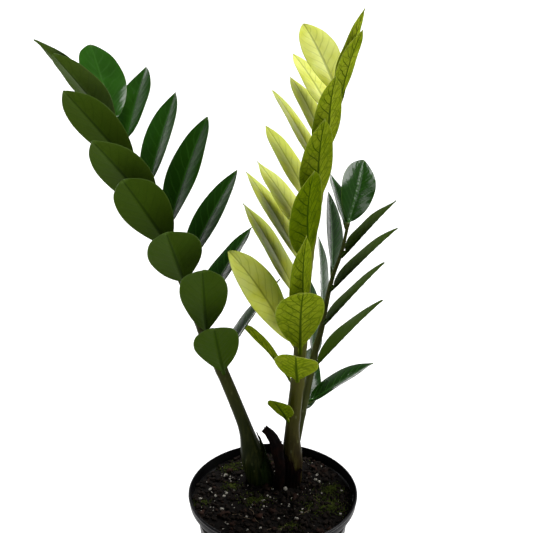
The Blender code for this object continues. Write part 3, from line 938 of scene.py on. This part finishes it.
def make_soil(stalks, materials):
    """The soil bed and what lies on it; perlite and bark keep off the moss."""
    points = node_points("soil")
    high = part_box("soil")[1]
    level = float(np.median(points[points[:, 2] > high.z - 3 * MM][:, 2]))
    edge = high.x
    feet = [stalk.at(level)[[0, 1, 3]] for stalk in stalks.values()]
    patches = [(x * MM, y * MM, spread * MM, count) for x, y, spread, count in MOSS_PATCHES]

    def ground(x, y):
        return soil_surface(x, y, level, edge, feet)

    def in_stalk(x, y):
        return any(math.hypot(x - foot[0], y - foot[1]) < foot[2] for foot in feet)

    def taken(x, y):
        on_moss = any(math.hypot(x - cx, y - cy) < spread for cx, cy, spread, _ in patches)
        return on_moss or in_stalk(x, y)

    finish_piece(soil_bed(level, edge, ground, materials["soil"]), "soil", "soil")
    crumbs = scatter("peat_crumbs", 1500, (0.5 * MM, 2.1 * MM), 2, 0.9, 0.35, materials["crumb"],
                     ground, edge * 0.975, in_stalk, 1)
    perlite = scatter("perlite_grains", 180, (0.35 * MM, 1.35 * MM), 3, 0.5, 0.35, materials["perlite"],
                      ground, edge * 0.95, taken, 2)
    bark = scatter("bark_bits", 90, (0.8 * MM, 2.8 * MM), 2, 1.3, 0.3, materials["bark"],
                   ground, edge * 0.95, taken, 3)
    moss = moss_piece(patches, ground, edge, materials["moss"])
    for item in (crumbs, perlite, bark, moss, *root_pieces(ground, materials["root"])):
        finish_piece(item, "soil")


# ---- pot ---------------------------------------------------------------------------------
def neck_curve(band, neck, top):
    """The hollow neck's curve in the section, from the band down to the taper."""
    drop = NECK_DEPTH - BAND_DEPTH
    turns = [math.pi / 2 * i / NECK_STEPS for i in range(NECK_STEPS + 1)]
    return [(band + (neck - band) * math.sin(turn), top - BAND_DEPTH - drop * (1 - math.cos(turn)))
            for turn in turns]


def pot_profile():
    """The pot's section as its outer and inner lines, from the rim, neck and base of the CAD."""
    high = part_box("pot")[1]
    rim, top = high.x, high.z
    points = node_points("pot")
    radii = np.linalg.norm(points[:, :2], axis=1)
    base = radii[points[:, 2] < 0.1 * MM].max()
    neck_rows = np.abs(points[:, 2] - (top - NECK_DEPTH)) < 2 * MM
    neck = radii[neck_rows].max()
    band = rim - BAND_INSET

    outer = []
    for i in range(LIP_STEPS + 1):
        turn = math.pi * i / LIP_STEPS
        outer.append((rim - LIP + LIP * math.sin(turn), top - LIP + LIP * math.cos(turn)))
    outer += [(rim - 0.9 * MM, top - 2.9 * MM), (rim - 0.75 * MM, top - 6.2 * MM), (band, top - BAND_DEPTH)]
    outer += neck_curve(band, neck, top)[1:]
    for height in WALL_HEIGHTS:
        ridge = RIDGE if height in RIDGE_HEIGHTS else 0
        share = height * MM / (top - NECK_DEPTH)
        outer.append((base + (neck - base) * share + ridge, height * MM))
    for i in range(FOOT_STEPS + 1):
        turn = math.pi / 2 * i / FOOT_STEPS
        outer.append((base - 2.2 * MM + 2.6 * MM * math.cos(turn), FOOT_RISE * (1 - math.sin(turn))))
    outer += [(base - 4 * MM, 0.0), (base - 5 * MM, BASE_HOLLOW)]
    outer += [(PLATE_RADIUS + 1 * MM, BASE_HOLLOW), (PLATE_RADIUS, 0.0)]

    inner = [(PLATE_RADIUS, FLOOR_TOP), (base - 1.6 * MM, FLOOR_TOP), (base - 0.4 * MM, 3.2 * MM)]
    inner += neck_curve(band - POT_WALL, neck - POT_WALL, top)[::-1]
    inner.append((rim - 2.2 * MM, top - 3.0 * MM))
    return outer, inner


def pot_piece(material):
    """The pot as one turned skin, with its base plate and drain holes."""
    outer, inner = pot_profile()
    section = outer + inner
    count = len(section)
    turns = [TURN * j / POT_COLUMNS for j in range(POT_COLUMNS)]
    points = [(radius * math.cos(turn), radius * math.sin(turn), height)
              for turn in turns for radius, height in section]
    low_edge = len(outer) - 1
    faces = []
    for j in range(POT_COLUMNS):
        k = (j + 1) % POT_COLUMNS
        for i in range(count):
            if i == low_edge:
                continue
            n = (i + 1) % count
            faces.append((j * count + i, j * count + n, k * count + n, k * count + i))
    item = mesh_object("nursery_pot", points, faces, material)
    bm = bmesh.new()
    bm.from_mesh(item.data)
    add_plate(bm, points[low_edge::count], points[low_edge + 1::count])
    bmesh.ops.remove_doubles(bm, verts=bm.verts, dist=0.02 * MM)
    bmesh.ops.recalc_face_normals(bm, faces=bm.faces)
    bm.to_mesh(item.data)
    bm.free()
    item.data.set_sharp_from_angle(angle=math.radians(50))
    return item


def hole_corners(bm, angle, height):
    """New corners round the drain hole at an angle, at one face of the base plate."""
    centre = Vector((HOLE_CIRCLE * math.cos(angle), HOLE_CIRCLE * math.sin(angle), height))
    return [bm.verts.new(centre + Vector((x, y, 0))) for x, y in around_axis(HOLE_RADIUS, HOLE_CORNERS)]


def loop_edges(bm, corners):
    """New edges that join corners in a closed loop."""
    return [bm.edges.new((corners[i], corners[(i + 1) % len(corners)])) for i in range(len(corners))]


def add_plate(bm, low_ring, high_ring):
    """The base plate: two flat faces with round drain holes and their short walls."""
    holes = [TURN * (number + 0.5) / HOLES for number in range(HOLES)]
    heights = (low_ring[0][2], high_ring[0][2])
    for ring, height in zip((low_ring, high_ring), heights):
        edges = loop_edges(bm, [bm.verts.new(point) for point in ring])
        for angle in holes:
            edges += loop_edges(bm, hole_corners(bm, angle, height))
        bmesh.ops.triangle_fill(bm, edges=edges, use_beauty=True)
    for angle in holes:
        low, high = (hole_corners(bm, angle, height) for height in heights)
        for i in range(HOLE_CORNERS):
            k = (i + 1) % HOLE_CORNERS
            bm.faces.new((low[i], high[i], high[k], low[k]))


# ---- stage, lights and camera ------------------------------------------------------------
def soft_sun(name, azimuth, elevation, power, width):
    """A broad soft light from a compass direction."""
    light = bpy.data.lights.new(name, "SUN")
    light.energy = power
    light.angle = math.radians(width)
    item = bpy.data.objects.new(name, light)
    azimuth = math.radians(azimuth)
    elevation = math.radians(elevation)
    level = math.cos(elevation)
    way = Vector((math.cos(azimuth) * level, math.sin(azimuth) * level, math.sin(elevation)))
    item.rotation_euler = way.to_track_quat("Z", "Y").to_euler()
    bpy.context.scene.collection.objects.link(item)


def make_stage():
    """A plain pale floor."""
    mesh = bpy.data.meshes.new("floor")
    signs = ((-1, -1), (1, -1), (1, 1), (-1, 1))
    mesh.from_pydata([(x * FLOOR_HALF, y * FLOOR_HALF, 0) for x, y in signs], [], [(0, 1, 2, 3)])
    paper = Shader("pale_floor", Roughness=0.9, Specular_IOR_Level=0.0)
    paper.colour((0.92, 0.92, 0.92))
    mesh.materials.append(paper.material)
    floor = bpy.data.objects.new("floor", mesh)
    bpy.context.scene.collection.objects.link(floor)


def make_world():
    """A studio with white walls low down all round, dimmer higher up, and a dark ceiling."""
    world = bpy.data.worlds.new("studio")
    world.use_nodes = True
    tree = world.node_tree
    way = tree.nodes.new("ShaderNodeTexCoord").outputs["Generated"]
    parts = tree.nodes.new("ShaderNodeSeparateXYZ")
    walls = tree.nodes.new("ShaderNodeValToRGB")
    tree.links.new(way, parts.inputs[0])
    tree.links.new(parts.outputs[2], walls.inputs["Fac"])
    ramp = walls.color_ramp.elements
    for place, level in WALLS:
        stop = ramp.new(place)
        stop.color = (level, level, level, 1)
    ramp[0].color = (1, 1, 1, 1)
    ramp[-1].color = (0.05, 0.05, 0.05, 1)
    tree.links.new(walls.outputs["Color"], tree.nodes["Background"].inputs["Color"])
    bpy.context.scene.world = world
    bpy.context.scene.view_settings.view_transform = "Standard"


def make_camera():
    """Looks down on the rim from in front, as far off as a hand-held close shot."""
    elevation = math.radians(CAMERA_ELEVATION)
    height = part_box("pot")[1].z + CAMERA_DISTANCE * math.sin(elevation)
    camera = bpy.data.cameras.new("camera")
    camera.sensor_width = CAMERA_SENSOR
    camera.lens = CAMERA_LENS
    item = bpy.data.objects.new("camera", camera)
    item.location = (CAMERA_SIDE, -CAMERA_DISTANCE * math.cos(elevation), height)
    item.rotation_euler = (math.radians(90 - CAMERA_DIP), 0, 0)
    bpy.context.scene.collection.objects.link(item)
    bpy.context.scene.camera = item


# ---- the whole model ---------------------------------------------------------------------
def main():
    materials = make_materials()
    stalks = {side: Stalk(f"{side}_stalk") for side in ("left", "young", "right")}
    make_leaflets(stalks, materials)
    make_stalks(stalks, materials)
    for side, skin, ragged in (("young", "dry_scale", 5 * MM), ("left", "pale_scale", 0.6 * MM)):
        name = side + "_sheath"
        finish_piece(sheath_piece(name, stalks[side], materials[skin], ragged), "dry_scale", name)
    finish_piece(stub_piece(materials["dry_scale"]), "dry_scale", "dry_stub")
    make_soil(stalks, materials)
    finish_piece(pot_piece(materials["pot"]), "pot", "pot")
    for name in ("left_rhizome", "right_rhizome"):
        NODES[name].data.materials.clear()
        NODES[name].data.materials.append(materials["rhizome"])
    make_stage()
    make_world()
    make_camera()
    for name, light in LIGHTS.items():
        soft_sun(name, *light)


main()
